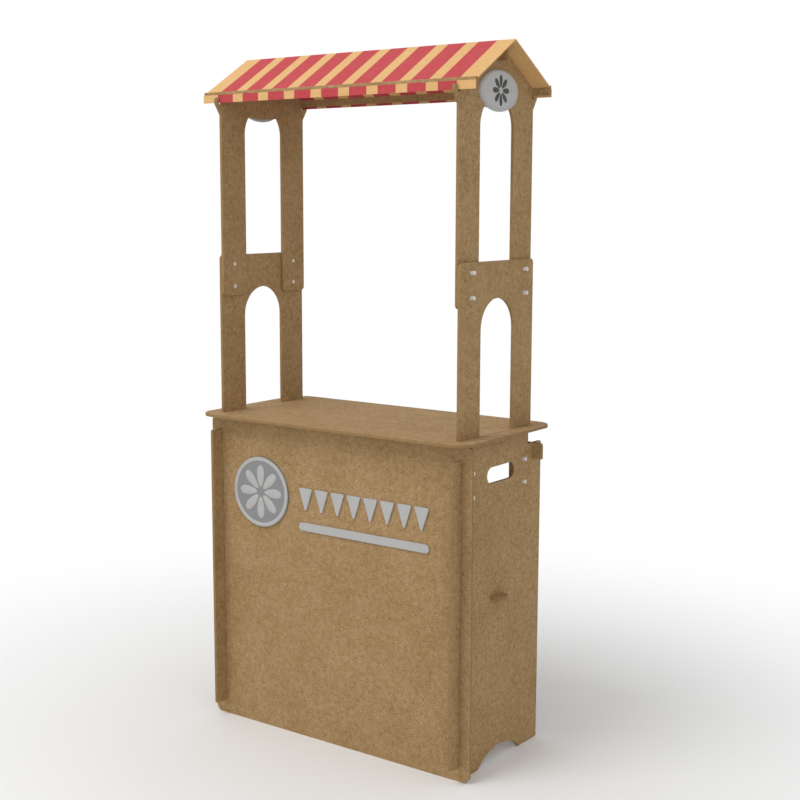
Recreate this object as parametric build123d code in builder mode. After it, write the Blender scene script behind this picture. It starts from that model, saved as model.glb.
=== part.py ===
from build123d import *
from math import atan, atan2, cos, degrees, sqrt
import os

# Roofed counter cut from flat board. Every piece slots into the next one.
# Millimetres. X runs to the right, Y to the back and Z up.
# The origin is on the floor, midway between the sides and under the roof ridge.

# Board and fits
board = 9.0
slot_gap = 0.2
peg_fit = 0.1
edge_radius = 5.0

# Counter base
base_height = 1000.0
front_width = 1000.0
side_inset = 40.0
side_rear_margin = 38.5
lip_depth = 46.0
lip_bottom_z = 45.0
lip_top_drop = 45.0
front_inset = 6.9
front_corner_radius = 25.0
front_joint_z = 500.0
front_slot_depth = 250.0
foot_arch_y = 24.0
foot_arch_half_span = 119.0
foot_arch_rise = 45.0
tongue_front_inset = 53.0
tongue_rear_inset = 81.0
tongue_radius = 20.0
ledge_drop = 48.0

# Carrying handle through each side
handle_y = 15.5
handle_drop = 113.0
handle_length = 150.0
handle_height = 48.0

# Shelf
shelf_top_z = 520.0
shelf_rear_inset = 7.0
tenon_radius = 34.0

# Rails
rail_height = 50.0
rail_radius = 10.0
rail_leg_gap = 2.1
rear_rail_reach = 35.0
ridge_beam_reach = 36.0

# Counter top
top_side_overhang = 50.0
top_rear_overhang = 5.0
top_corner_radius = 60.0

# Frames above the counter. The arch frame height runs from its own feet, under the counter top.
frame_depth = 394.8
leg_width = 107.4
arch_frame_height = 700.0
arch_crown_rail = 107.0
arch_frame_radius = 12.0
lug_radius = 38.0

# Gable frames, with heights above their own feet
leg_foot_radius = 12.0
gable_apex_height = 744.0
roof_slope = 0.604
gable_arch_height = 505.0
arch_tongue_rise = 52.0
arch_tongue_sag = 6.0
hook_floor_gap = 4.1
hook_root_drop = 32.0
hook_knee_rise = 2.0
hook_tip_rise = 19.0
hook_thickness = 14.0

# Pegs
peg_radius = 6.3
peg_pitch = 70.3
peg_round = 1.5
base_peg_drop = 90.0
base_peg_stand_out = 11.0
frame_peg_edge = 29.0
frame_peg_stand_out = 15.0

# Roof
roof_overhang = 61.8
roof_sheet = 3.0
batten_inset = 3.9
batten_height = 26.0
batten_below_sheet = 21.0
valance_height = 24.0
valance_thickness = 3.0
valance_drop = 7.0
valance_fit = 0.5

# Gable medallions
gable_medallion_width = 202.0
gable_medallion_height = 118.0
gable_medallion_drop = 136.0
gable_medallion_thickness = 12.0

# Raised trim on the upper front panel
trim_plate = 5.0
trim_relief = 3.0
front_medallion_inset = 170.0
front_medallion_drop = 231.0
front_medallion_radius = 112.0
front_medallion_rim = 13.0
petal_count = 8
petal_middle_radius = 50.0
petal_half_length = 36.0
petal_half_width = 14.0
trim_left_gap = 44.0
trim_right_inset = 104.0
pennant_count = 8
pennant_gap = 9.0
pennant_top_drop = 197.0
pennant_height = 78.0
pennant_radius = 4.0
trim_bar_drop = 319.0
trim_bar_height = 26.0

# Base places worked out from the sizes above. The frames' depth sets where the panels and rear rail stand.
frame_half_depth = frame_depth / 2
opening_half = frame_half_depth - leg_width
leg_middle_y = frame_half_depth - leg_width / 2
side_plane_x = front_width / 2 - side_inset
side_inner_x = side_plane_x - board / 2
side_outer_x = side_plane_x + board / 2
front_plane_y = front_inset - frame_half_depth
panel_front_y = front_plane_y - board / 2
panel_rear_y = front_plane_y + board / 2
rear_rail_y = frame_half_depth + rail_leg_gap + board / 2
rear_rail_half_length = side_plane_x + rear_rail_reach
side_rear_y = rear_rail_y + board / 2 + side_rear_margin
lip_front_y = panel_front_y - lip_depth
lip_top_z = base_height - lip_top_drop
tongue_front_y = panel_rear_y + tongue_front_inset
tongue_rear_y = side_rear_y - tongue_rear_inset
ledge_z = base_height - ledge_drop
handle_z = base_height - handle_drop
shelf_rear_y = side_rear_y - shelf_rear_inset
top_width = 2 * (side_plane_x + top_side_overhang)
top_depth = 2 * (side_rear_y + top_rear_overhang)
slot_width = board + 2 * slot_gap
slot_front_y = front_plane_y - slot_width / 2
slot_rear_y = front_plane_y + slot_width / 2
upper_slot_z = front_joint_z + front_slot_depth
lower_slot_z = front_joint_z - front_slot_depth
foot_arch_radius = (foot_arch_half_span**2 + foot_arch_rise**2) / (2 * foot_arch_rise)
top_surface_z = base_height + board
shelf_bottom_z = shelf_top_z - board
half_lap = rail_height / 2

# Frame places
frame_plane_x = side_plane_x - board
frame_inner_x = frame_plane_x - board / 2
gable_plane_x = frame_plane_x - board
gable_outer_x = gable_plane_x + board / 2
gable_inner_x = gable_plane_x - board / 2
ridge_beam_half_length = gable_plane_x + ridge_beam_reach
lug_outer_y = -panel_rear_y - slot_gap
lug_middle_y = (opening_half + lug_outer_y) / 2
lug_width = lug_outer_y - opening_half
base_peg_top_z = base_height - base_peg_drop
arch_foot_z = base_peg_top_z - peg_pitch - frame_peg_edge
frame_top_z = arch_foot_z + arch_frame_height
arch_spring_z = frame_top_z - arch_crown_rail - opening_half
gable_foot_z = frame_top_z - 2 * frame_peg_edge - peg_pitch
gable_spring_z = gable_foot_z + gable_arch_height
apex_z = gable_foot_z + gable_apex_height
base_peg_heights = (base_peg_top_z, base_peg_top_z - peg_pitch)
frame_peg_heights = (gable_foot_z + frame_peg_edge, gable_foot_z + frame_peg_edge + peg_pitch)

# Roof places
roof_half_length = gable_plane_x + roof_overhang
batten_inner_y = frame_half_depth - batten_inset
ridge_beam_top_z = apex_z - roof_slope * board / 2
ridge_beam_bottom_z = ridge_beam_top_z - rail_height
rear_rail_bottom_z = ledge_z - rail_height
sheet_rise = roof_sheet / cos(atan(roof_slope))
eave_drop = roof_slope * batten_inner_y
batten_outer_y = batten_inner_y + board
valance_outer_y = batten_outer_y + valance_thickness
hook_inner_y = batten_inner_y - valance_fit
hook_slot_y = valance_outer_y + valance_fit
hook_outer_y = hook_slot_y + hook_thickness
batten_bottom_z = apex_z - eave_drop - batten_below_sheet
valance_bottom_z = batten_bottom_z - valance_drop

# Trim places
gable_medallion_z = apex_z - gable_medallion_drop
front_medallion_x = front_medallion_inset - side_plane_x
front_medallion_z = base_height - front_medallion_drop
trim_left_x = front_medallion_x + front_medallion_radius + trim_left_gap
trim_right_x = side_plane_x - trim_right_inset
pennant_top_z = base_height - pennant_top_drop
trim_bar_z = base_height - trim_bar_drop

sides = (("left", -1), ("right", 1))
slopes = (("front", -1), ("rear", 1))

os.makedirs("parts", exist_ok=True)


def nearest(sketch, points):
    """Choose the corners of a sketch that lie nearest to the given points."""
    return [sketch.vertices().sort_by_distance((u, v, 0))[0] for u, v in points]


def centred(low, high):
    """Return the middle and the length of a span."""
    return (low + high) / 2, high - low


# Side panels: a lip in front of the front panels, feet at the bottom and a tongue at the top
for side, sign in sides:
    with BuildPart() as side_panel:
        with BuildSketch(Plane.YZ.offset(sign * side_plane_x - board / 2)) as side_outline:
            with BuildLine():
                Polyline(
                    (lip_front_y, lip_bottom_z),
                    (slot_front_y, lip_bottom_z),
                    (slot_front_y, lower_slot_z),
                    (slot_rear_y, lower_slot_z),
                    (slot_rear_y, 0),
                    (side_rear_y, 0),
                    (side_rear_y, ledge_z),
                    (tongue_rear_y, ledge_z),
                    (tongue_rear_y, top_surface_z),
                    (tongue_front_y, top_surface_z),
                    (tongue_front_y, base_height),
                    (slot_rear_y, base_height),
                    (slot_rear_y, upper_slot_z),
                    (slot_front_y, upper_slot_z),
                    (slot_front_y, lip_top_z),
                    (lip_front_y, lip_top_z),
                    close=True,
                )
            make_face()
            outer_corners = [
                (lip_front_y, lip_bottom_z),
                (lip_front_y, lip_top_z),
                (side_rear_y, 0),
                (side_rear_y, ledge_z),
                (tongue_front_y, top_surface_z),
            ]
            fillet(nearest(side_outline, outer_corners), edge_radius)
            fillet(nearest(side_outline, [(tongue_rear_y, top_surface_z)]), tongue_radius)
            with Locations((foot_arch_y, foot_arch_rise - foot_arch_radius)):
                Circle(foot_arch_radius, mode=Mode.SUBTRACT)
            with Locations((handle_y, handle_z)):
                SlotOverall(handle_length, handle_height, mode=Mode.SUBTRACT)
            with Locations((rear_rail_y, ledge_z - half_lap / 2)):
                Rectangle(slot_width, half_lap, mode=Mode.SUBTRACT)
            with Locations((0, shelf_bottom_z + board / 2)):
                Rectangle(2 * (tenon_radius + slot_gap), slot_width, mode=Mode.SUBTRACT)
            with Locations([(s * leg_middle_y, z) for s in (-1, 1) for z in base_peg_heights]):
                Circle(peg_radius + peg_fit, mode=Mode.SUBTRACT)
        extrude(amount=board)
    side_panel.part.label = f"{side}_side_panel"
    export_step(side_panel.part, f"parts/{side}_side_panel.step")

# Upper front panel: slots open at its bottom edge drop over the side panels
with BuildPart() as upper_front_panel:
    with BuildSketch(Plane.XZ.offset(-panel_rear_y)) as upper_front_outline:
        middle_z, height = centred(front_joint_z, base_height)
        with Locations((0, middle_z)):
            Rectangle(front_width, height)
        top_corners = [(s * front_width / 2, base_height) for s in (-1, 1)]
        foot_corners = [(s * front_width / 2, front_joint_z) for s in (-1, 1)]
        fillet(nearest(upper_front_outline, top_corners), front_corner_radius)
        fillet(nearest(upper_front_outline, foot_corners), edge_radius)
        with Locations([(s * side_plane_x, front_joint_z + front_slot_depth / 2) for s in (-1, 1)]):
            Rectangle(slot_width, front_slot_depth, mode=Mode.SUBTRACT)
    extrude(amount=board)
upper_front_panel.part.label = "upper_front_panel"
export_step(upper_front_panel.part, "parts/upper_front_panel.step")

# Lower front panel: slots open at its top edge, and it stands on the floor
with BuildPart() as lower_front_panel:
    with BuildSketch(Plane.XZ.offset(-panel_rear_y)) as lower_front_outline:
        middle_z, height = centred(0, front_joint_z)
        with Locations((0, middle_z)):
            Rectangle(front_width, height)
        top_corners = [(s * front_width / 2, front_joint_z) for s in (-1, 1)]
        foot_corners = [(s * front_width / 2, 0) for s in (-1, 1)]
        fillet(nearest(lower_front_outline, top_corners), edge_radius)
        fillet(nearest(lower_front_outline, foot_corners), front_corner_radius)
        with Locations([(s * side_plane_x, front_joint_z - front_slot_depth / 2) for s in (-1, 1)]):
            Rectangle(slot_width, front_slot_depth, mode=Mode.SUBTRACT)
    extrude(amount=board)
lower_front_panel.part.label = "lower_front_panel"
export_step(lower_front_panel.part, "parts/lower_front_panel.step")

# Shelf: a half-round tenon at each end passes through the side panel
with BuildPart() as shelf:
    with BuildSketch(Plane.XY.offset(shelf_bottom_z)):
        middle_y, depth = centred(panel_rear_y, shelf_rear_y)
        with Locations((0, middle_y)):
            Rectangle(2 * side_inner_x, depth)
        Rectangle(2 * side_outer_x, 2 * tenon_radius)
        with Locations((-side_outer_x, 0), (side_outer_x, 0)):
            Circle(tenon_radius)
    extrude(amount=board)
shelf.part.label = "shelf"
export_step(shelf.part, "parts/shelf.step")

# Rear rail: notches in its lower edge cross the slots in the side panels' rear ledges
with BuildPart() as rear_rail:
    with BuildSketch(Plane.XZ.offset(-rear_rail_y - board / 2)) as rear_rail_outline:
        with Locations((0, rear_rail_bottom_z + rail_height / 2)):
            Rectangle(2 * rear_rail_half_length, rail_height)
        rail_corners = [(s * rear_rail_half_length, ledge_z) for s in (-1, 1)]
        fillet(nearest(rear_rail_outline, rail_corners), rail_radius)
        with Locations([(s * side_plane_x, rear_rail_bottom_z + half_lap / 2) for s in (-1, 1)]):
            Rectangle(slot_width, half_lap, mode=Mode.SUBTRACT)
    extrude(amount=board)
rear_rail.part.label = "rear_rail"
export_step(rear_rail.part, "parts/rear_rail.step")

# Counter top: each end has a slot for the side panel's tongue beside two slots for the lugs
with BuildPart() as counter_top:
    with BuildSketch(Plane.XY.offset(base_height)):
        RectangleRounded(top_width, top_depth, top_corner_radius)
        middle_y, depth = centred(tongue_front_y - slot_gap, tongue_rear_y + slot_gap)
        with Locations([(s * side_plane_x, middle_y) for s in (-1, 1)]):
            Rectangle(slot_width, depth, mode=Mode.SUBTRACT)
        with Locations([(s * frame_plane_x, t * lug_middle_y) for s in (-1, 1) for t in (-1, 1)]):
            Rectangle(slot_width, lug_width + 2 * slot_gap, mode=Mode.SUBTRACT)
    extrude(amount=board)
counter_top.part.label = "counter_top"
export_step(counter_top.part, "parts/counter_top.step")

# Arch frames: narrowed lugs pass through the counter top, and the base pegs pin them to the side panels
for side, sign in sides:
    with BuildPart() as arch_frame:
        with BuildSketch(Plane.YZ.offset(sign * frame_plane_x - board / 2)) as arch_outline:
            middle_z, height = centred(top_surface_z, frame_top_z)
            with Locations((0, middle_z)):
                Rectangle(frame_depth, height)
            middle_z, height = centred(arch_foot_z, top_surface_z)
            with Locations((-lug_middle_y, middle_z), (lug_middle_y, middle_z)):
                Rectangle(lug_width, height)
            top_corners = [(s * frame_half_depth, frame_top_z) for s in (-1, 1)]
            fillet(nearest(arch_outline, top_corners), arch_frame_radius)
            lug_corners = [(s * y, arch_foot_z) for s in (-1, 1) for y in (opening_half, lug_outer_y)]
            fillet(nearest(arch_outline, lug_corners), lug_radius)
            middle_z, height = centred(top_surface_z, arch_spring_z)
            with Locations((0, middle_z)):
                Rectangle(2 * opening_half, height, mode=Mode.SUBTRACT)
            with Locations((0, arch_spring_z)):
                Circle(opening_half, mode=Mode.SUBTRACT)
            peg_heights = (*base_peg_heights, *frame_peg_heights)
            with Locations([(s * leg_middle_y, z) for s in (-1, 1) for z in peg_heights]):
                Circle(peg_radius + peg_fit, mode=Mode.SUBTRACT)
        extrude(amount=board)
    arch_frame.part.label = f"{side}_arch_frame"
    export_step(arch_frame.part, f"parts/{side}_arch_frame.step")

# Gable frames: pointed tops that carry the roof slopes, with a hook in front and behind for the eaves
hook_floor_z = valance_bottom_z - hook_floor_gap
hook_root_z = hook_floor_z - hook_root_drop
hook_knee_z = hook_floor_z + hook_knee_rise
hook_tip_z = hook_floor_z + hook_tip_rise
shoulder_z = apex_z - roof_slope * hook_inner_y
tongue_edge_z = gable_spring_z + arch_tongue_rise
tongue_end_z = tongue_edge_z + arch_tongue_sag
tongue_end_y = sqrt(opening_half**2 - (tongue_end_z - gable_spring_z) ** 2)
arch_sweep = degrees(atan2(tongue_end_z - gable_spring_z, tongue_end_y))
half_gable = [
    (frame_half_depth, gable_foot_z),
    (frame_half_depth, hook_root_z),
    (hook_outer_y, hook_knee_z),
    (hook_outer_y, hook_tip_z),
    (hook_slot_y, hook_tip_z),
    (hook_slot_y, hook_floor_z),
    (hook_inner_y, hook_floor_z),
    (hook_inner_y, shoulder_z),
]
for side, sign in sides:
    with BuildPart() as gable_frame:
        with BuildSketch(Plane.YZ.offset(sign * gable_plane_x - board / 2)) as gable_outline:
            with BuildLine():
                Polyline(*half_gable, (0, apex_z), *[(-y, z) for y, z in reversed(half_gable)], close=True)
            make_face()
            with BuildLine():
                Polyline(
                    (-opening_half, gable_spring_z),
                    (-opening_half, gable_foot_z),
                    (opening_half, gable_foot_z),
                    (opening_half, gable_spring_z),
                )
                CenterArc((0, gable_spring_z), opening_half, 0, arch_sweep)
                CenterArc((0, gable_spring_z), opening_half, 180 - arch_sweep, arch_sweep)
                ThreePointArc((-tongue_end_y, tongue_end_z), (0, tongue_edge_z), (tongue_end_y, tongue_end_z))
            make_face(mode=Mode.SUBTRACT)
            foot_corners = [(s * y, gable_foot_z) for s in (-1, 1) for y in (opening_half, frame_half_depth)]
            fillet(nearest(gable_outline, foot_corners), leg_foot_radius)
            hook_corners = [(s * hook_outer_y, z) for s in (-1, 1) for z in (hook_knee_z, hook_tip_z)]
            fillet(nearest(gable_outline, hook_corners), edge_radius)
            shoulder_corners = [(s * hook_inner_y, shoulder_z) for s in (-1, 1)]
            fillet(nearest(gable_outline, shoulder_corners), edge_radius)
            middle_z, height = centred(ridge_beam_bottom_z + half_lap, apex_z)
            with Locations((0, middle_z)):
                Rectangle(slot_width, height, mode=Mode.SUBTRACT)
            with Locations([(s * leg_middle_y, z) for s in (-1, 1) for z in frame_peg_heights]):
                Circle(peg_radius + peg_fit, mode=Mode.SUBTRACT)
        extrude(amount=board)
    gable_frame.part.label = f"{side}_gable_frame"
    export_step(gable_frame.part, f"parts/{side}_gable_frame.step")

# Ridge beam: notches in its lower edge cross the slots in the gable peaks
with BuildPart() as ridge_beam:
    with BuildSketch(Plane.XZ.offset(-board / 2)) as ridge_outline:
        with Locations((0, ridge_beam_bottom_z + rail_height / 2)):
            Rectangle(2 * ridge_beam_half_length, rail_height)
        rail_corners = [(s * ridge_beam_half_length, ridge_beam_top_z) for s in (-1, 1)]
        fillet(nearest(ridge_outline, rail_corners), rail_radius)
        with Locations([(s * gable_plane_x, ridge_beam_bottom_z + half_lap / 2) for s in (-1, 1)]):
            Rectangle(slot_width, half_lap, mode=Mode.SUBTRACT)
    extrude(amount=board)
ridge_beam.part.label = "ridge_beam"
export_step(ridge_beam.part, "parts/ridge_beam.step")

# Pegs: plain rods with rounded ends, four to each side panel and four to each gable frame
for side, sign in sides:
    with BuildPart() as base_pegs:
        with BuildSketch(Plane.YZ.offset(sign * frame_inner_x)):
            with Locations([(s * leg_middle_y, z) for s in (-1, 1) for z in base_peg_heights]):
                Circle(peg_radius)
        extrude(amount=sign * (2 * board + base_peg_stand_out))
        outer_faces = base_pegs.faces().filter_by(Axis.X).group_by(Axis.X)[-1 if sign > 0 else 0]
        fillet(outer_faces.edges(), peg_round)
    base_pegs.part.label = f"{side}_base_pegs"
    export_step(base_pegs.part, f"parts/{side}_base_pegs.step")

    with BuildPart() as frame_pegs:
        with BuildSketch(Plane.YZ.offset(sign * gable_inner_x)):
            with Locations([(s * leg_middle_y, z) for s in (-1, 1) for z in frame_peg_heights]):
                Circle(peg_radius)
        extrude(amount=sign * (2 * board + frame_peg_stand_out))
        outer_faces = frame_pegs.faces().filter_by(Axis.X).group_by(Axis.X)[-1 if sign > 0 else 0]
        fillet(outer_faces.edges(), peg_round)
    frame_pegs.part.label = f"{side}_frame_pegs"
    export_step(frame_pegs.part, f"parts/{side}_frame_pegs.step")

# Roof: two thin sheets meet at the ridge, each ends at a batten, and a valance hangs on the batten
for slope, sign in slopes:
    with BuildPart() as roof_sheet_part:
        with BuildSketch(Plane.YZ.offset(-roof_half_length)):
            with BuildLine():
                Polyline(
                    (0, apex_z),
                    (sign * batten_inner_y, apex_z - eave_drop),
                    (sign * batten_inner_y, apex_z - eave_drop + sheet_rise),
                    (0, apex_z + sheet_rise),
                    close=True,
                )
            make_face()
        extrude(amount=2 * roof_half_length)
    roof_sheet_part.part.label = f"{slope}_roof_sheet"
    export_step(roof_sheet_part.part, f"parts/{slope}_roof_sheet.step")

    with BuildPart() as eave_batten:
        with BuildSketch(Plane.YZ.offset(-roof_half_length)):
            with Locations((sign * (batten_inner_y + board / 2), batten_bottom_z + batten_height / 2)):
                Rectangle(board, batten_height)
        extrude(amount=2 * roof_half_length)
    eave_batten.part.label = f"{slope}_eave_batten"
    export_step(eave_batten.part, f"parts/{slope}_eave_batten.step")

    with BuildPart() as valance:
        valance_y = batten_outer_y + valance_thickness / 2
        with BuildSketch(Plane.YZ.offset(-roof_half_length)):
            with Locations((sign * valance_y, valance_bottom_z + valance_height / 2)):
                Rectangle(valance_thickness, valance_height)
        extrude(amount=2 * roof_half_length)
    valance.part.label = f"{slope}_valance"
    export_step(valance.part, f"parts/{slope}_valance.step")

# Gable medallions: plain ovals on the outer faces of the gable frames
for side, sign in sides:
    with BuildPart() as gable_medallion:
        with BuildSketch(Plane.YZ.offset(sign * gable_outer_x)):
            with Locations((0, gable_medallion_z)):
                Ellipse(gable_medallion_width / 2, gable_medallion_height / 2)
        extrude(amount=sign * gable_medallion_thickness)
        outer_faces = gable_medallion.faces().filter_by(Axis.X).group_by(Axis.X)[-1 if sign > 0 else 0]
        fillet(outer_faces.edges(), peg_round)
    gable_medallion.part.label = f"{side}_gable_medallion"
    export_step(gable_medallion.part, f"parts/{side}_gable_medallion.step")

# Front medallion: a disc with a raised rim and a raised flower
with BuildPart() as front_medallion:
    with BuildSketch(Plane.XZ.offset(-panel_front_y)):
        with Locations((front_medallion_x, front_medallion_z)):
            Circle(front_medallion_radius)
    extrude(amount=trim_plate)
    with BuildSketch(Plane.XZ.offset(-panel_front_y + trim_plate)):
        with Locations((front_medallion_x, front_medallion_z)):
            Circle(front_medallion_radius)
            Circle(front_medallion_radius - front_medallion_rim, mode=Mode.SUBTRACT)
            with PolarLocations(petal_middle_radius, petal_count):
                Ellipse(petal_half_length, petal_half_width)
    extrude(amount=trim_relief)
front_medallion.part.label = "front_medallion"
export_step(front_medallion.part, "parts/front_medallion.step")

# Pennant row: small raised triangles beside the front medallion
pennant_pitch = (trim_right_x - trim_left_x + pennant_gap) / pennant_count
pennant_half = (pennant_pitch - pennant_gap) / 2
with BuildPart() as pennant_row:
    with BuildSketch(Plane.XZ.offset(-panel_front_y)) as pennants:
        for index in range(pennant_count):
            middle_x = trim_left_x + pennant_half + index * pennant_pitch
            with BuildLine():
                Polyline(
                    (middle_x - pennant_half, pennant_top_z),
                    (middle_x, pennant_top_z - pennant_height),
                    (middle_x + pennant_half, pennant_top_z),
                    close=True,
                )
            make_face()
        fillet(pennants.vertices(), pennant_radius)
    extrude(amount=trim_plate)
pennant_row.part.label = "pennant_row"
export_step(pennant_row.part, "parts/pennant_row.step")

# Trim bar: a plain raised strip under the pennants
with BuildPart() as trim_bar:
    with BuildSketch(Plane.XZ.offset(-panel_front_y)):
        middle_x, length = centred(trim_left_x, trim_right_x)
        with Locations((middle_x, trim_bar_z)):
            SlotOverall(length, trim_bar_height)
    extrude(amount=trim_plate)
trim_bar.part.label = "trim_bar"
export_step(trim_bar.part, "parts/trim_bar.step")
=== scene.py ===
from math import pi, radians, tan

import bmesh
import bpy
import numpy as np
from bpy.props import FloatProperty, FloatVectorProperty, IntProperty, PointerProperty
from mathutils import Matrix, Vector


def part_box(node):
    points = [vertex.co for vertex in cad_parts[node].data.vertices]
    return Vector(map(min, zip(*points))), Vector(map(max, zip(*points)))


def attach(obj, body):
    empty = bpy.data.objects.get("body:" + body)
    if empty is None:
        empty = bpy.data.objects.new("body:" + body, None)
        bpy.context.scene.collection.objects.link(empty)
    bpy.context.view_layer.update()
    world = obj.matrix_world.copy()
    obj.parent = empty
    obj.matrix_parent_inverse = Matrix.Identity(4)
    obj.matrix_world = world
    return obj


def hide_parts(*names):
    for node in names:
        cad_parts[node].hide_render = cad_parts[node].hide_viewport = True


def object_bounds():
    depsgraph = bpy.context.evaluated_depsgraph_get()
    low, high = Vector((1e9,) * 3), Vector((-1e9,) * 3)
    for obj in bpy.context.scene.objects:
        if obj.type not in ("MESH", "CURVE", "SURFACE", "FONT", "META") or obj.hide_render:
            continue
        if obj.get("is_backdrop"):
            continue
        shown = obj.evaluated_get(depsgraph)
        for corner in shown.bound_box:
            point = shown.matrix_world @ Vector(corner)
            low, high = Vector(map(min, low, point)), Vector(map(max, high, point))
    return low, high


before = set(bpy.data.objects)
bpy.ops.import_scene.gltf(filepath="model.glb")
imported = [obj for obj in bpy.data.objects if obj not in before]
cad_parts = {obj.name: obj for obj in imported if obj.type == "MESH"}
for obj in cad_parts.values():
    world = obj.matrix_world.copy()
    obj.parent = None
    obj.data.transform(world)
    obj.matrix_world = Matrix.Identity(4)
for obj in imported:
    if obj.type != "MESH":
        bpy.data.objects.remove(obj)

bl_info = {
    "name": "Roofed Counter",
    "version": (1, 0, 0),
    "blender": (4, 5, 0),
    "location": "View3D > Sidebar > Counter",
    "description": "Dresses a slotted board counter with a striped gable roof",
    "category": "Object",
}

ACROSS_X = (
    "left_side_panel",
    "right_side_panel",
    "left_arch_frame",
    "right_arch_frame",
    "left_gable_frame",
    "right_gable_frame",
)
ACROSS_Y = (
    "upper_front_panel",
    "lower_front_panel",
    "rear_rail",
    "ridge_beam",
    "front_eave_batten",
    "rear_eave_batten",
)
ACROSS_Z = ("counter_top", "shelf")
ROOF_SHEETS = ("front_roof_sheet", "rear_roof_sheet")
VALANCES = ("front_valance", "rear_valance")
PEG_SETS = ("left_base_pegs", "right_base_pegs", "left_frame_pegs", "right_frame_pegs")

# Noise scales of the board, in features per metre, and the strands' turns in degrees
STRAND_SCALE = 560.0
GRAIN_SCALE = 380.0
SPOT_SCALE = 82.0
PATCH_SCALE = 60.0
CLOUD_SCALE = 8.0
EDGE_LAYER_SCALE = 900.0
STRAND_LENGTH = 5.0
STRAND_TURNS = (20, 78, 142)

# How much the colour fades where the board is pale, and how far the cut edge covers it
PALE_FADE = 0.33
EDGE_COVER = 0.8

# Half the width over which one stripe turns into the next
STRIPE_BLUR = 0.0004

# Roughness and noise scale of the paint and of the pegs
PAINT_ROUGHNESS = 0.42
PAINT_SCALE = 40.0
PEG_ROUGHNESS = 0.38
PEG_SCALE = 180.0

# Points round a turn
DISC_STEPS = 192
PETAL_STEPS = 56
PEG_STEPS = 32

# Front medallion: ground as a share of the thickness, rim as shares of the radius
GROUND_SHARE = 0.62
RIM_MIDDLE = 0.94
RIM_HALF_WIDTH = 0.06

# Gable medallions: the bead's place as shares of the half width, the heights as shares of the thickness
BEAD_MIDDLE = 0.88
BEAD_HALF_WIDTH = 0.03
BEAD_RISE = 0.10
DOME_FOOT = 0.84
DOME_RISE = 0.05
PETAL_FOOT = 0.88
PETAL_RISE = 0.10

# Pegs: dome and inner mouth as shares of the radius, and the length of the mouth's bevel
PEG_DOME = 0.5
PEG_MOUTH = 0.92
PEG_BEVEL = 0.0006

# Corners sharper than these angles are shaded as edges, and eased
SHARP_ANGLE = radians(34)
EASED_ANGLE = radians(40)

# Stage: half the floor's side, where the floor fades to white, the even light and what the lamps face
FLOOR_REACH = 14.0
FADE_START = 0.5
FADE_END = 2.6
WORLD_STRENGTH = 0.66
LAMP_AIM = (0, 0, 1.0)


class BoardFinish(bpy.types.PropertyGroup):
    """Colours and grain of the bare fibre board."""

    face: FloatVectorProperty(
        name="Face", description="Colour of the pressed faces", subtype="COLOR", size=3,
        default=(0.372, 0.242, 0.113), min=0, max=1,
    )
    fleck: FloatVectorProperty(
        name="Fleck", description="Colour of the dark fibres", subtype="COLOR", size=3,
        default=(0.180, 0.104, 0.042), min=0, max=1,
    )
    warm: FloatVectorProperty(
        name="Warm spot", description="Colour of the rusty spots", subtype="COLOR", size=3,
        default=(0.300, 0.165, 0.064), min=0, max=1,
    )
    edge: FloatVectorProperty(
        name="Cut edge", description="Colour of the sawn edges", subtype="COLOR", size=3,
        default=(0.290, 0.176, 0.076), min=0, max=1,
    )
    grain: FloatProperty(
        name="Grain", description="Strength of the dense fine grain", default=1.5, min=0,
    )
    softening: FloatProperty(
        name="Softening", description="Width of the eased corner along each edge",
        default=0.0008, min=0, unit="LENGTH",
    )


class RoofFinish(bpy.types.PropertyGroup):
    """Stripes of the roof sheets and valances."""

    red: FloatVectorProperty(
        name="Red", description="Colour of the red stripes", subtype="COLOR", size=3,
        default=(0.482, 0.064, 0.072), min=0, max=1,
    )
    yellow: FloatVectorProperty(
        name="Yellow", description="Colour of the yellow stripes", subtype="COLOR", size=3,
        default=(0.682, 0.415, 0.178), min=0, max=1,
    )
    pitch: FloatProperty(
        name="Pitch", description="Distance from one red stripe to the next",
        default=0.103, min=0.01, unit="LENGTH",
    )
    red_width: FloatProperty(
        name="Red width", description="Width of a red stripe", default=0.063, min=0.001, unit="LENGTH",
    )
    red_reach: FloatProperty(
        name="Red reach", description="How far from the middle the last red stripe ends",
        default=0.4435, min=0, unit="LENGTH",
    )


class TrimFinish(bpy.types.PropertyGroup):
    """Raised trim and medallions."""

    grey: FloatVectorProperty(
        name="Grey", description="Colour of the painted trim", subtype="COLOR", size=3,
        default=(0.437, 0.435, 0.430), min=0, max=1,
    )
    recess: FloatVectorProperty(
        name="Recess", description="Colour of the sunk ground of the front medallion", subtype="COLOR",
        size=3, default=(0.235, 0.235, 0.235), min=0, max=1,
    )
    motif: FloatVectorProperty(
        name="Motif", description="Colour of the small flowers on the gables", subtype="COLOR",
        size=3, default=(0.018, 0.018, 0.019), min=0, max=1,
    )
    petals: IntProperty(name="Petals", description="Petals on the front medallion", default=8, min=3)
    softening: FloatProperty(
        name="Softening", description="Width of the eased corner along each edge",
        default=0.001, min=0, unit="LENGTH",
    )


class PegFinish(bpy.types.PropertyGroup):
    """Pegs through the frames."""

    pale: FloatVectorProperty(
        name="Pale", description="Colour of the pegs", subtype="COLOR", size=3,
        default=(0.700, 0.670, 0.620), min=0, max=1,
    )
    radius: FloatProperty(
        name="Radius", description="Radius of a peg", default=0.0063, min=0.001, unit="LENGTH",
    )


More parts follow.
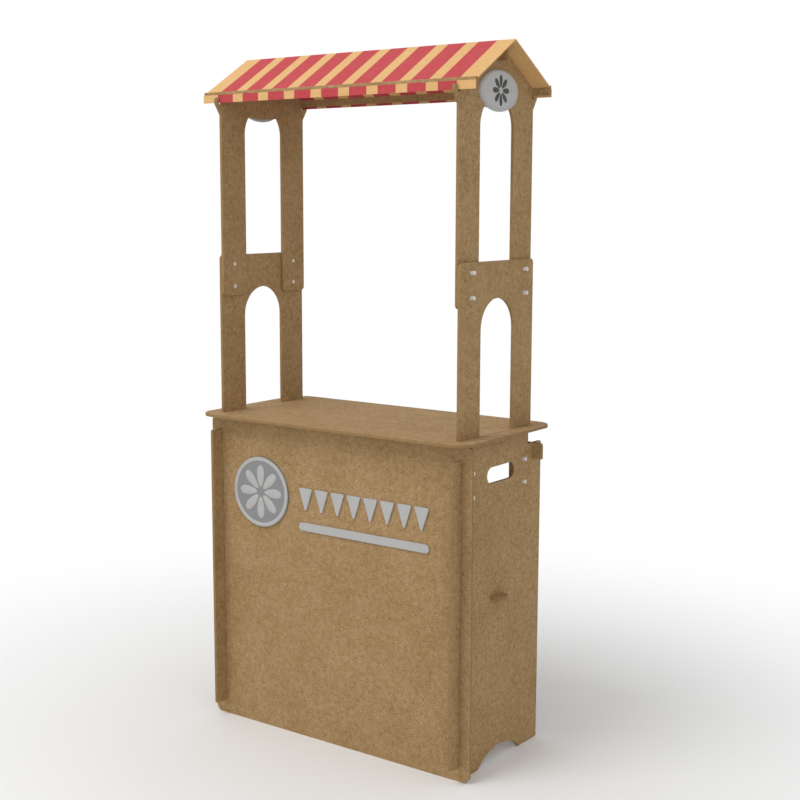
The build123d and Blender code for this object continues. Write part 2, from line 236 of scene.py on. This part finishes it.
class StageSettings(bpy.types.PropertyGroup):
    """Floor, light and camera."""

    floor: FloatVectorProperty(
        name="Floor", description="Colour of the floor", subtype="COLOR", size=3,
        default=(0.860, 0.860, 0.855), min=0, max=1,
    )
    azimuth: FloatProperty(
        name="Azimuth", description="Camera's turn to the right of the front",
        default=radians(36.96), subtype="ANGLE",
    )
    pitch: FloatProperty(
        name="Pitch", description="Camera's tilt below level", default=radians(8.33), subtype="ANGLE",
    )
    distance: FloatProperty(
        name="Distance", description="Level distance to the camera", default=4.26, min=0.5, unit="LENGTH",
    )
    shift: FloatProperty(
        name="Shift", description="Sideways shift that sets the counter left of the middle", default=0.035,
    )
    lens: FloatProperty(
        name="Lens", description="Focal length of the camera", default=62.0, min=1, unit="CAMERA",
    )


# Node trees


def node(tree, kind, **settings):
    """Add a node and set its properties."""
    made = tree.nodes.new(kind)
    for key, value in settings.items():
        setattr(made, key, value)
    return made


def math_node(tree, operation, first, second=None):
    """Add a Math node whose inputs are sockets or numbers."""
    made = node(tree, "ShaderNodeMath", operation=operation)
    for socket, value in zip(made.inputs, (first, second)):
        if isinstance(value, bpy.types.NodeSocket):
            tree.links.new(value, socket)
        elif value is not None:
            socket.default_value = value
    return made.outputs[0]


def mix_colours(tree, factor, first, second):
    """Add a colour Mix node whose inputs are sockets, numbers or colours."""
    made = node(tree, "ShaderNodeMix", data_type="RGBA")
    for index, value in ((0, factor), (6, first), (7, second)):
        if isinstance(value, bpy.types.NodeSocket):
            tree.links.new(value, made.inputs[index])
        else:
            made.inputs[index].default_value = value
    return made.outputs[2]


def new_group(name, inputs, outputs):
    """Make a shader node group with named sockets and return it with its two end nodes."""
    tree = bpy.data.node_groups.new(name, "ShaderNodeTree")
    for label, kind, value in inputs:
        socket = tree.interface.new_socket(name=label, in_out="INPUT", socket_type=kind)
        if value is not None:
            socket.default_value = value
    for label, kind in outputs:
        tree.interface.new_socket(name=label, in_out="OUTPUT", socket_type=kind)
    return tree, node(tree, "NodeGroupInput"), node(tree, "NodeGroupOutput")


def noise(tree, vector, scale, detail=2.0):
    """Add a noise texture and return its value."""
    made = node(tree, "ShaderNodeTexNoise")
    if isinstance(scale, bpy.types.NodeSocket):
        tree.links.new(scale, made.inputs["Scale"])
    else:
        made.inputs["Scale"].default_value = scale
    made.inputs["Detail"].default_value = detail
    tree.links.new(vector, made.inputs["Vector"])
    return made.outputs["Fac"]


def step(tree, value, low, high, to_low=0.0, to_high=1.0):
    """Add a smooth Map Range from low..high to to_low..to_high."""
    made = node(tree, "ShaderNodeMapRange", interpolation_type="SMOOTHSTEP")
    tree.links.new(value, made.inputs["Value"])
    for label, number in (("From Min", low), ("From Max", high), ("To Min", to_low), ("To Max", to_high)):
        made.inputs[label].default_value = number
    return made.outputs["Result"]


def seen_plainly(tree):
    """Be one for what the camera sees, also in gloss and through glass, and none for the light itself."""
    path = node(tree, "ShaderNodeLightPath")
    mirrored = math_node(tree, "MAXIMUM", path.outputs["Is Camera Ray"], path.outputs["Is Glossy Ray"])
    return math_node(tree, "MAXIMUM", mirrored, path.outputs["Is Transmission Ray"])


def fibre_layer(tree, vector, turn, length):
    """Add a noise drawn out along one direction of the board's plane."""
    mapping = node(tree, "ShaderNodeMapping")
    mapping.inputs["Rotation"].default_value = (0, 0, turn)
    mapping.inputs["Scale"].default_value = (1 / length, 1, 1)
    tree.links.new(vector, mapping.inputs["Vector"])
    return noise(tree, mapping.outputs[0], STRAND_SCALE)


def fibre_group():
    """Pressed fibres in the plane of the first two coordinates: dark and pale strands that cross at three
    turns, over a dense fine grain, rusty spots and a faint cloudy tone. Paler places are also greyer."""
    tree, start, end = new_group(
        "pressed_fibres",
        (
            ("Vector", "NodeSocketVector", None),
            ("Colour", "NodeSocketColor", (0.4, 0.26, 0.12, 1)),
            ("Fleck", "NodeSocketColor", (0.2, 0.12, 0.05, 1)),
            ("Warm", "NodeSocketColor", (0.4, 0.2, 0.07, 1)),
            ("Strands", "NodeSocketFloat", 1.0),
            ("Grain", "NodeSocketFloat", 0.5),
            ("Mottle", "NodeSocketFloat", 1.0),
        ),
        (("Colour", "NodeSocketColor"), ("Roughness", "NodeSocketFloat"), ("Height", "NodeSocketFloat")),
    )
    vector = start.outputs["Vector"]
    layers = [fibre_layer(tree, vector, radians(turn), STRAND_LENGTH) for turn in STRAND_TURNS]
    grain = noise(tree, vector, GRAIN_SCALE, detail=4.0)
    patches = noise(tree, vector, PATCH_SCALE, detail=4.0)
    clouds = noise(tree, vector, CLOUD_SCALE, detail=3.0)
    rusty = noise(tree, vector, SPOT_SCALE, detail=3.0)
    darkest = math_node(tree, "MAXIMUM", math_node(tree, "MAXIMUM", layers[0], layers[1]), layers[2])
    palest = math_node(tree, "MINIMUM", math_node(tree, "MINIMUM", layers[0], layers[1]), layers[2])
    dark = step(tree, darkest, low=0.58, high=0.74, to_high=0.9)
    dark = math_node(tree, "MULTIPLY", dark, step(tree, patches, low=0.34, high=0.66, to_low=0.45))
    dark = math_node(tree, "MULTIPLY", dark, start.outputs["Strands"])
    pale = step(tree, palest, low=0.42, high=0.26, to_high=0.22)
    pale = math_node(tree, "MULTIPLY", pale, start.outputs["Strands"])
    spots = step(tree, rusty, low=0.54, high=0.72, to_high=0.8)
    toned = mix_colours(tree, spots, start.outputs["Colour"], start.outputs["Warm"])
    flecked = mix_colours(tree, dark, toned, start.outputs["Fleck"])
    swing = math_node(tree, "MULTIPLY", math_node(tree, "SUBTRACT", grain, 0.5), start.outputs["Grain"])
    cloudy = step(tree, clouds, low=0.30, high=0.70, to_low=-0.05, to_high=0.05)
    patchy = step(tree, patches, low=0.30, high=0.70, to_low=-0.10, to_high=0.10)
    uneven = math_node(tree, "ADD", cloudy, patchy)
    uneven = math_node(tree, "MULTIPLY", uneven, start.outputs["Mottle"])
    value = math_node(tree, "ADD", math_node(tree, "ADD", 1.0, uneven), math_node(tree, "ADD", swing, pale))
    richness = math_node(tree, "SUBTRACT", 1 + PALE_FADE, math_node(tree, "MULTIPLY", value, PALE_FADE))
    shade = node(tree, "ShaderNodeHueSaturation")
    tree.links.new(value, shade.inputs["Value"])
    tree.links.new(richness, shade.inputs["Saturation"])
    tree.links.new(flecked, shade.inputs["Color"])
    tree.links.new(shade.outputs[0], end.inputs["Colour"])
    roughness = step(tree, darkest, low=0.45, high=0.75, to_low=0.78, to_high=0.62)
    tree.links.new(roughness, end.inputs["Roughness"])
    height = math_node(tree, "ADD", darkest, math_node(tree, "MULTIPLY", grain, 0.6))
    tree.links.new(height, end.inputs["Height"])
    return tree


def cut_edge_group():
    """Cut edge: a mask that is one where the surface faces away from the board's thickness direction, and a
    colour that runs in fine layers along the edge."""
    tree, start, end = new_group(
        "cut_edge",
        (
            ("Vector", "NodeSocketVector", None),
            ("Normal", "NodeSocketVector", None),
            ("Across", "NodeSocketVector", (1, 0, 0)),
            ("Colour", "NodeSocketColor", (0.3, 0.18, 0.08, 1)),
        ),
        (("Mask", "NodeSocketFloat"), ("Colour", "NodeSocketColor")),
    )
    dot = node(tree, "ShaderNodeVectorMath", operation="DOT_PRODUCT")
    tree.links.new(start.outputs["Normal"], dot.inputs[0])
    tree.links.new(start.outputs["Across"], dot.inputs[1])
    facing = math_node(tree, "ABSOLUTE", dot.outputs["Value"])
    sideways = step(tree, facing, low=0.35, high=0.85, to_low=1.0, to_high=0.0)
    tree.links.new(sideways, end.inputs["Mask"])
    mapping = node(tree, "ShaderNodeMapping")
    mapping.inputs["Scale"].default_value = (0.03, 0.03, 1)
    tree.links.new(start.outputs["Vector"], mapping.inputs["Vector"])
    layers = noise(tree, mapping.outputs[0], EDGE_LAYER_SCALE)
    shade = node(tree, "ShaderNodeHueSaturation")
    tone = step(tree, layers, low=0.32, high=0.68, to_low=0.84, to_high=1.10)
    tree.links.new(tone, shade.inputs["Value"])
    tree.links.new(start.outputs["Colour"], shade.inputs["Color"])
    tree.links.new(shade.outputs[0], end.inputs["Colour"])
    return tree


def mottle_group():
    """Faint mottle: a colour that dips a little in soft patches, with a roughness that follows it."""
    tree, start, end = new_group(
        "faint_mottle",
        (
            ("Vector", "NodeSocketVector", None),
            ("Colour", "NodeSocketColor", (0.5, 0.5, 0.5, 1)),
            ("Scale", "NodeSocketFloat", 40.0),
            ("Roughness", "NodeSocketFloat", 0.4),
        ),
        (("Colour", "NodeSocketColor"), ("Roughness", "NodeSocketFloat"), ("Height", "NodeSocketFloat")),
    )
    soft = noise(tree, start.outputs["Vector"], start.outputs["Scale"])
    shade = node(tree, "ShaderNodeHueSaturation")
    tone = step(tree, soft, low=0.3, high=0.7, to_low=0.97, to_high=1.02)
    tree.links.new(tone, shade.inputs["Value"])
    tree.links.new(start.outputs["Colour"], shade.inputs["Color"])
    tree.links.new(shade.outputs[0], end.inputs["Colour"])
    swing = math_node(tree, "MULTIPLY", math_node(tree, "SUBTRACT", soft, 0.5), 0.25)
    tree.links.new(math_node(tree, "ADD", start.outputs["Roughness"], swing), end.inputs["Roughness"])
    tree.links.new(soft, end.inputs["Height"])
    return tree


def new_material(name, roughness=None):
    """Make a node material and return it with its tree, its shader and its coordinates."""
    material = bpy.data.materials.new(name)
    material.use_nodes = True
    tree = material.node_tree
    shader = tree.nodes["Principled BSDF"]
    if roughness is not None:
        shader.inputs["Roughness"].default_value = roughness
    return material, tree, shader, node(tree, "ShaderNodeTexCoord")


def bump(tree, shader, height, strength, distance):
    """Feed a height to the shader's normal."""
    made = node(tree, "ShaderNodeBump")
    made.inputs["Strength"].default_value = strength
    made.inputs["Distance"].default_value = distance
    tree.links.new(height, made.inputs["Height"])
    tree.links.new(made.outputs[0], shader.inputs["Normal"])


def place_group(tree, group, **values):
    """Place a node group and set its inputs from sockets or values."""
    made = node(tree, "ShaderNodeGroup", node_tree=group)
    for label, value in values.items():
        socket = made.inputs[label]
        if isinstance(value, bpy.types.NodeSocket):
            tree.links.new(value, socket)
        else:
            socket.default_value = value
    return made


def board_material(name, finish, across, turn, fibres, edges):
    """Bare fibre board whose thickness runs along the across direction. The turn lays the pattern's plane on
    the board's."""
    material, tree, shader, place = new_material(name)
    mapping = node(tree, "ShaderNodeMapping")
    mapping.inputs["Rotation"].default_value = turn
    tree.links.new(place.outputs["Object"], mapping.inputs["Vector"])
    face = place_group(
        tree, fibres, Vector=mapping.outputs[0], Colour=(*finish.face, 1), Fleck=(*finish.fleck, 1),
        Warm=(*finish.warm, 1), Grain=finish.grain,
    )
    edge = place_group(
        tree, edges, Vector=mapping.outputs[0], Normal=place.outputs["Normal"], Across=across,
        Colour=(*finish.edge, 1),
    )
    cover = math_node(tree, "MULTIPLY", edge.outputs["Mask"], EDGE_COVER)
    colour = mix_colours(tree, cover, face.outputs["Colour"], edge.outputs["Colour"])
    tree.links.new(colour, shader.inputs["Base Color"])
    tree.links.new(face.outputs["Roughness"], shader.inputs["Roughness"])
    shader.inputs["Specular IOR Level"].default_value = 0.12
    bump(tree, shader, face.outputs["Height"], strength=0.3, distance=0.0004)
    return material


def striped_material(finish, fibres):
    """Stripes across the counter's width, red at the middle, over a faint fibre tone."""
    material, tree, shader, place = new_material("striped_sheet")
    split = node(tree, "ShaderNodeSeparateXYZ")
    tree.links.new(place.outputs["Object"], split.inputs[0])
    x = split.outputs["X"]
    wrapped = math_node(tree, "PINGPONG", x, finish.pitch / 2)
    half = finish.red_width / 2
    red = step(tree, wrapped, low=half - STRIPE_BLUR, high=half + STRIPE_BLUR, to_low=1.0, to_high=0.0)
    away = math_node(tree, "ABSOLUTE", x)
    stop = finish.red_reach
    inside = step(tree, away, low=stop, high=stop + 2 * STRIPE_BLUR, to_low=1.0, to_high=0.0)
    red = math_node(tree, "MULTIPLY", red, inside)
    stripes = mix_colours(tree, red, (*finish.yellow, 1), (*finish.red, 1))
    face = place_group(
        tree, fibres, Vector=place.outputs["Object"], Colour=stripes, Fleck=stripes, Warm=stripes,
        Strands=0.2, Grain=0.12, Mottle=0.25,
    )
    tree.links.new(face.outputs["Colour"], shader.inputs["Base Color"])
    roughness = step(tree, face.outputs["Roughness"], low=0.6, high=0.8, to_low=0.55, to_high=0.70)
    tree.links.new(roughness, shader.inputs["Roughness"])
    shader.inputs["Specular IOR Level"].default_value = 0.1
    bump(tree, shader, face.outputs["Height"], strength=0.12, distance=0.0003)
    return material


def painted_material(name, colour, rough, scale, recess=None):
    """Smooth paint or plastic. A recess is a colour and the two Y places between which it takes over."""
    material, tree, shader, place = new_material(name)
    tone = (*colour, 1)
    if recess:
        darker, raised_y, sunk_y = recess
        split = node(tree, "ShaderNodeSeparateXYZ")
        tree.links.new(place.outputs["Object"], split.inputs[0])
        tone = mix_colours(tree, step(tree, split.outputs["Y"], raised_y, sunk_y), tone, (*darker, 1))
    mottle = place_group(
        tree, bpy.data.node_groups["faint_mottle"], Vector=place.outputs["Object"], Colour=tone,
        Scale=scale, Roughness=rough,
    )
    tree.links.new(mottle.outputs["Colour"], shader.inputs["Base Color"])
    tree.links.new(mottle.outputs["Roughness"], shader.inputs["Roughness"])
    bump(tree, shader, mottle.outputs["Height"], strength=0.05, distance=0.0001)
    return material


# Meshes


def put_mesh(name, points, quads, slot):
    """Turn arrays of points and quads into a closed piece at the origin that rides on the body."""
    mesh = bpy.data.meshes.new(name)
    mesh.from_pydata(points.reshape(-1, 3).tolist(), [], quads.reshape(-1, 4).tolist())
    work = bmesh.new()
    work.from_mesh(mesh)
    bmesh.ops.remove_doubles(work, verts=work.verts, dist=1e-6)
    bmesh.ops.dissolve_degenerate(work, edges=work.edges, dist=1e-7)
    bmesh.ops.recalc_face_normals(work, faces=work.faces)
    work.to_mesh(mesh)
    work.free()
    mesh.polygons.foreach_set("use_smooth", np.ones(len(mesh.polygons), dtype=bool))
    mesh.set_sharp_from_angle(angle=SHARP_ANGLE)
    piece = bpy.data.objects.new(name, mesh)
    bpy.context.scene.collection.objects.link(piece)
    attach(piece, "root")
    return piece


def grid_quads(rows, columns):
    """Quads of a grid whose columns close on themselves: each joins a point to its next row and column."""
    row, column = np.meshgrid(np.arange(rows - 1), np.arange(columns), indexing="ij")
    after = (column + 1) % columns
    this_row = row * columns
    next_row = this_row + columns
    corners = (this_row + column, this_row + after, next_row + after, next_row + column)
    return np.stack(corners, axis=-1).reshape(-1, 4)


def join(parts):
    """Join pairs of points and quads into one pair."""
    counts = [points.size // 3 for points, _ in parts]
    firsts = np.cumsum([0] + counts[:-1])
    points = np.concatenate([points.reshape(-1, 3) for points, _ in parts])
    return points, np.concatenate([quads + first for (_, quads), first in zip(parts, firsts)])


def disc(reach, across, height):
    """A turned plate: at each share of the way across, from the middle to the edge, it has the given height,
    and a last row closes its flat back. Rows of points run along, aside and out of the plate."""
    turn = np.linspace(0, 2 * pi, DISC_STEPS, endpoint=False)
    across = np.append(across, (1, 0))[:, None]
    height = np.append(height, (0, 0))[:, None]
    u = reach[0] * across * np.cos(turn)
    v = reach[1] * across * np.sin(turn)
    return np.stack((u, v, height + 0 * turn), -1), grid_quads(across.size, turn.size)


def flower(petals, inner, outer, width, base, rise):
    """Petals at equal turns. Each one's outline is an ellipse from the inner to the outer radius, wider
    towards its tip, and its height is a quarter circle from the outline up to the middle. It starts flat
    at half the base, inside the plate."""
    lift = np.linspace(0, pi / 2, 12)
    share = np.concatenate(([0, 1], np.cos(lift)))[:, None]
    height = np.concatenate(([base / 2, base / 2], base + rise * np.sin(lift)))[:, None]
    turn = np.linspace(0, 2 * pi, PETAL_STEPS, endpoint=False)
    along = (inner + outer) / 2 + (outer - inner) / 2 * share * np.cos(turn)
    aside = width / 2 * share * np.sin(turn) * (1 + 0.28 * np.cos(turn))
    parts = []
    for angle in np.arange(petals) * 2 * pi / petals:
        u = along * np.cos(angle) - aside * np.sin(angle)
        v = along * np.sin(angle) + aside * np.cos(angle)
        parts.append((np.stack((u, v, height + 0 * turn), -1), grid_quads(share.size, turn.size)))
    return join(parts)


def dress(names, material):
    """Give CAD nodes one material."""
    for name in names:
        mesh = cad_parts[name].data
        mesh.materials.clear()
        mesh.materials.append(material)


def softened_copy(name, material, width):
    """Copy a CAD node, merge its triangles into clean faces and ease its corners."""
    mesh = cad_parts[name].data.copy()
    mesh.name = f"{name}_eased"
    work = bmesh.new()
    work.from_mesh(mesh)
    bmesh.ops.remove_doubles(work, verts=work.verts, dist=1e-5)
    bmesh.ops.dissolve_limit(work, angle_limit=radians(0.5), verts=work.verts, edges=work.edges)
    work.to_mesh(mesh)
    work.free()
    mesh.materials.clear()
    mesh.materials.append(material)
    piece = bpy.data.objects.new(f"{name}_eased", mesh)
    bpy.context.scene.collection.objects.link(piece)
    easing = piece.modifiers.new("easing", "BEVEL")
    easing.width = width
    easing.segments = 2
    easing.limit_method = "ANGLE"
    easing.angle_limit = EASED_ANGLE
    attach(piece, "root")
    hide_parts(name)


class COUNTER_OT_boards(bpy.types.Operator):
    """Dress every board in bare fibre board with eased corners"""

    bl_idname = "counter.boards"
    bl_label = "Boards"

    def execute(self, context):
        finish = context.scene.counter_board
        fibres = bpy.data.node_groups["pressed_fibres"]
        edges = bpy.data.node_groups["cut_edge"]
        groups = (
            ("board_across_x", ACROSS_X, (1, 0, 0), (0, pi / 2, 0)),
            ("board_across_y", ACROSS_Y, (0, 1, 0), (pi / 2, 0, 0)),
            ("board_across_z", ACROSS_Z, (0, 0, 1), (0, 0, 0)),
        )
        for name, members, across, turn in groups:
            material = board_material(name, finish, across, turn, fibres, edges)
            for member in members:
                softened_copy(member, material, finish.softening)
        return {"FINISHED"}


class COUNTER_OT_roof(bpy.types.Operator):
    """Dress the roof sheets and valances in stripes"""

    bl_idname = "counter.roof"
    bl_label = "Roof"

    def execute(self, context):
        material = striped_material(context.scene.counter_roof, bpy.data.node_groups["pressed_fibres"])
        dress(ROOF_SHEETS + VALANCES, material)
        return {"FINISHED"}


class COUNTER_OT_medallions(bpy.types.Operator):
    """Make the front medallion and the two gable medallions"""

    bl_idname = "counter.medallions"
    bl_label = "Medallions"

    def front(self, finish, material):
        """A flat plate with a half-round rim and a flower. One ring part of the way out keeps the plate's
        faces short."""
        low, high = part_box("front_medallion")
        middle = (low + high) / 2
        radius = (high.x - low.x) / 2
        depth = high.y - low.y
        ground = GROUND_SHARE * depth
        lift = np.linspace(0, pi, 17)
        across = np.concatenate(([0, 0.45], RIM_MIDDLE - RIM_HALF_WIDTH * np.cos(lift)))
        rise = depth - ground
        height = np.concatenate(([ground, ground], ground + rise * np.sin(lift)))
        plate = disc((radius, radius), across, height)
        petals = flower(
            finish.petals, inner=0.13 * radius, outer=0.77 * radius, width=0.26 * radius, base=ground,
            rise=0.92 * rise,
        )
        points, quads = join((plate, petals))
        x, z, out = points.T
        points = np.stack((middle.x + x, high.y - out, middle.z + z), -1)
        piece = put_mesh("front_medallion_relief", points, quads, "grey_trim")
        piece.data.materials.append(material)
        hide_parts("front_medallion")

    def gable(self, side, sign, finish, materials):
        """A shallow dome with a low bead near its edge, which falls off as a quarter circle, and a flower.
        The piece carries two materials: the dark one is on the faces of the flower."""
        low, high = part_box(f"{side}_gable_medallion")
        middle = (low + high) / 2
        reach = (high - low) / 2
        inner = low.x if sign > 0 else high.x
        depth = high.x - low.x
        lift = np.linspace(0, pi / 2, 13)
        dome_end = BEAD_MIDDLE - BEAD_HALF_WIDTH
        edge_start = BEAD_MIDDLE + BEAD_HALF_WIDTH
        dome = np.linspace(0, dome_end, 12)
        bead = BEAD_MIDDLE - BEAD_HALF_WIDTH * np.cos(2 * lift)
        edge = edge_start + (1 - edge_start) * np.sin(lift[1:])
        dome_top = DOME_FOOT + DOME_RISE * (1 - (dome / dome_end) ** 2)
        bead_top = DOME_FOOT + BEAD_RISE * np.sin(2 * lift)
        edge_top = DOME_FOOT * np.cos(lift[1:])
        across = np.concatenate((dome, bead, edge))
        top = np.concatenate((dome_top, bead_top, edge_top))
        plate = disc((reach.y, reach.z), across, depth * top)
        size = reach.z
        petals = flower(
            finish.petals, inner=0.14 * size, outer=0.74 * size, width=0.26 * size,
            base=PETAL_FOOT * depth, rise=PETAL_RISE * depth,
        )
        points, quads = join((plate, petals))
        y, z, out = points.T
        points = np.stack((inner + sign * out, middle.y + y, middle.z + z), -1)
        piece = put_mesh(f"{side}_gable_oval", points, quads, "grey_trim")
        for material in materials:
            piece.data.materials.append(material)
        places = np.array([face.center for face in piece.data.polygons])
        away = np.hypot(places[:, 1] - middle.y, places[:, 2] - middle.z)
        above_dome = sign * (places[:, 0] - inner) > (DOME_FOOT + DOME_RISE) * depth
        on_flower = above_dome & (away < 0.76 * size)
        piece.data.polygons.foreach_set("material_index", on_flower.astype(np.int32))
        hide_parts(f"{side}_gable_medallion")

    def execute(self, context):
        finish = context.scene.counter_trim
        material = painted_material("grey_paint", tuple(finish.grey), PAINT_ROUGHNESS, PAINT_SCALE)
        dark = painted_material("dark_paint", tuple(finish.motif), PAINT_ROUGHNESS, PAINT_SCALE)
        low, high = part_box("front_medallion")
        plate_y = high.y - GROUND_SHARE * (high.y - low.y)
        recess = (tuple(finish.recess), plate_y - 0.0008, plate_y - 0.0002)
        relief = painted_material("grey_relief", tuple(finish.grey), PAINT_ROUGHNESS, PAINT_SCALE, recess)
        self.front(finish, relief)
        self.gable("left", -1, finish, (material, dark))
        self.gable("right", 1, finish, (material, dark))
        for name in ("pennant_row", "trim_bar"):
            softened_copy(name, material, finish.softening)
        return {"FINISHED"}


class COUNTER_OT_pegs(bpy.types.Operator):
    """Make the pegs with domed ends"""

    bl_idname = "counter.pegs"
    bl_label = "Pegs"

    def execute(self, context):
        finish = context.scene.counter_peg
        material = painted_material("pale_peg", tuple(finish.pale), PEG_ROUGHNESS, PEG_SCALE)
        for name in PEG_SETS:
            self.peg_set(name, finish.radius, material)
        return {"FINISHED"}

    def peg_set(self, name, radius, material):
        """Four rods. Each is a profile turned about its own line: a straight wall, then a dome at the outer
        end whose radius falls with the square root of one minus the square of the way along it."""
        low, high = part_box(name)
        sign = 1 if high.x > 0 else -1
        start, stop = (low.x, high.x) if sign > 0 else (high.x, low.x)
        dome = PEG_DOME * radius
        lift = np.linspace(0, pi / 2, 9)
        wall = abs(stop - start) - dome
        along = np.concatenate(([0, 0, PEG_BEVEL], wall + dome * np.sin(lift)))[:, None]
        reach = radius * np.concatenate(([0, PEG_MOUTH, 1], np.cos(lift)))[:, None]
        turn = np.linspace(0, 2 * pi, PEG_STEPS, endpoint=False)
        quads = grid_quads(along.size, turn.size)
        rods = []
        for y in (low.y + radius, high.y - radius):
            for z in (low.z + radius, high.z - radius):
                ring = (start + sign * along + 0 * turn, y + reach * np.cos(turn), z + reach * np.sin(turn))
                rods.append((np.stack(ring, -1), quads))
        piece = put_mesh(f"{name}_domed", *join(rods), "peg")
        piece.data.materials.append(material)
        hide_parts(name)


class COUNTER_OT_stage(bpy.types.Operator):
    """Set the pale floor, the soft light and the camera"""

    bl_idname = "counter.stage"
    bl_label = "Stage"

    def floor(self, settings):
        """A level square that the camera sees as white and that takes the counter's shadow."""
        reach = FLOOR_REACH
        mesh = bpy.data.meshes.new("floor")
        corners = [(-reach, -reach, 0), (reach, -reach, 0), (reach, reach, 0), (-reach, reach, 0)]
        mesh.from_pydata(corners, [], [(0, 1, 2, 3)])
        piece = bpy.data.objects.new("floor", mesh)
        bpy.context.scene.collection.objects.link(piece)
        material, tree, shader, place = new_material("pale_floor", 0.9)
        shader.inputs["Base Color"].default_value = (*settings.floor, 1)
        away = node(tree, "ShaderNodeVectorMath", operation="LENGTH")
        tree.links.new(place.outputs["Object"], away.inputs[0])
        faded = step(tree, away.outputs["Value"], low=FADE_START, high=FADE_END)
        seen = math_node(tree, "MULTIPLY", seen_plainly(tree), faded)
        white = node(tree, "ShaderNodeEmission")
        mix = node(tree, "ShaderNodeMixShader")
        tree.links.new(seen, mix.inputs[0])
        tree.links.new(shader.outputs[0], mix.inputs[1])
        tree.links.new(white.outputs[0], mix.inputs[2])
        tree.links.new(mix.outputs[0], tree.nodes["Material Output"].inputs["Surface"])
        mesh.materials.append(material)
        piece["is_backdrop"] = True

    def world(self, scene):
        """Even white light, and a plain white background."""
        world = bpy.data.worlds.new("studio")
        scene.world = world
        world.use_nodes = True
        tree = world.node_tree
        light = tree.nodes["Background"]
        light.inputs["Color"].default_value = (1, 1, 1, 1)
        light.inputs["Strength"].default_value = WORLD_STRENGTH
        seen = node(tree, "ShaderNodeBackground")
        seen.inputs["Color"].default_value = (1, 1, 1, 1)
        seen.inputs["Strength"].default_value = 1.0
        mix = node(tree, "ShaderNodeMixShader")
        tree.links.new(seen_plainly(tree), mix.inputs[0])
        tree.links.new(light.outputs[0], mix.inputs[1])
        tree.links.new(seen.outputs[0], mix.inputs[2])
        tree.links.new(mix.outputs[0], tree.nodes["World Output"].inputs["Surface"])

    def lamp(self, scene, name, place, size, energy):
        """A square soft lamp turned to the middle of the counter."""
        data = bpy.data.lights.new(name, "AREA")
        data.size = size
        data.energy = energy
        lamp = bpy.data.objects.new(name, data)
        scene.collection.objects.link(lamp)
        lamp.location = place
        lamp.rotation_euler = (Vector(LAMP_AIM) - Vector(place)).to_track_quat("-Z", "Y").to_euler()

    def execute(self, context):
        scene = context.scene
        settings = scene.counter_stage
        scene.view_settings.view_transform = "Standard"
        self.floor(settings)
        self.world(scene)
        self.lamp(scene, "key_lamp", place=(-1.2, -3.4, 5.8), size=3.0, energy=158.0)
        self.lamp(scene, "fill_lamp", place=(5.4, -4.6, 3.2), size=4.0, energy=38.0)
        low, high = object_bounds()
        middle = (low.z + high.z) / 2
        data = bpy.data.cameras.new("camera")
        data.lens = settings.lens
        camera = bpy.data.objects.new("camera", data)
        scene.collection.objects.link(camera)
        turn = settings.azimuth
        camera.location = (
            settings.distance * np.sin(turn),
            -settings.distance * np.cos(turn),
            middle + settings.distance * tan(settings.pitch),
        )
        camera.rotation_euler = (pi / 2 - settings.pitch, 0, turn)
        data.shift_x = settings.shift
        scene.camera = camera
        return {"FINISHED"}


class COUNTER_PT_sidebar(bpy.types.Panel):
    """The counter's sizes, colours and steps"""

    bl_idname = "COUNTER_PT_sidebar"
    bl_label = "Roofed Counter"
    bl_space_type = "VIEW_3D"
    bl_region_type = "UI"
    bl_category = "Counter"

    def draw(self, context):
        for group in SETTINGS:
            settings = getattr(context.scene, group)
            for label in settings.__annotations__:
                self.layout.prop(settings, label)
        for step_name in ("boards", "roof", "medallions", "pegs", "stage"):
            self.layout.operator(f"counter.{step_name}")


SETTINGS = {
    "counter_board": BoardFinish,
    "counter_roof": RoofFinish,
    "counter_trim": TrimFinish,
    "counter_peg": PegFinish,
    "counter_stage": StageSettings,
}
CLASSES = (
    *SETTINGS.values(),
    COUNTER_OT_boards,
    COUNTER_OT_roof,
    COUNTER_OT_medallions,
    COUNTER_OT_pegs,
    COUNTER_OT_stage,
    COUNTER_PT_sidebar,
)


def register():
    for made in CLASSES:
        bpy.utils.register_class(made)
    for group, kind in SETTINGS.items():
        setattr(bpy.types.Scene, group, PointerProperty(type=kind))


def unregister():
    for group in SETTINGS:
        delattr(bpy.types.Scene, group)
    for made in reversed(CLASSES):
        bpy.utils.unregister_class(made)


def main():
    """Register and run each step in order."""
    register()
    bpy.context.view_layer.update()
    fibre_group()
    cut_edge_group()
    mottle_group()
    bpy.ops.counter.boards()
    bpy.ops.counter.roof()
    bpy.ops.counter.medallions()
    bpy.ops.counter.pegs()
    bpy.ops.counter.stage()


if __name__ == "__main__":
    main()
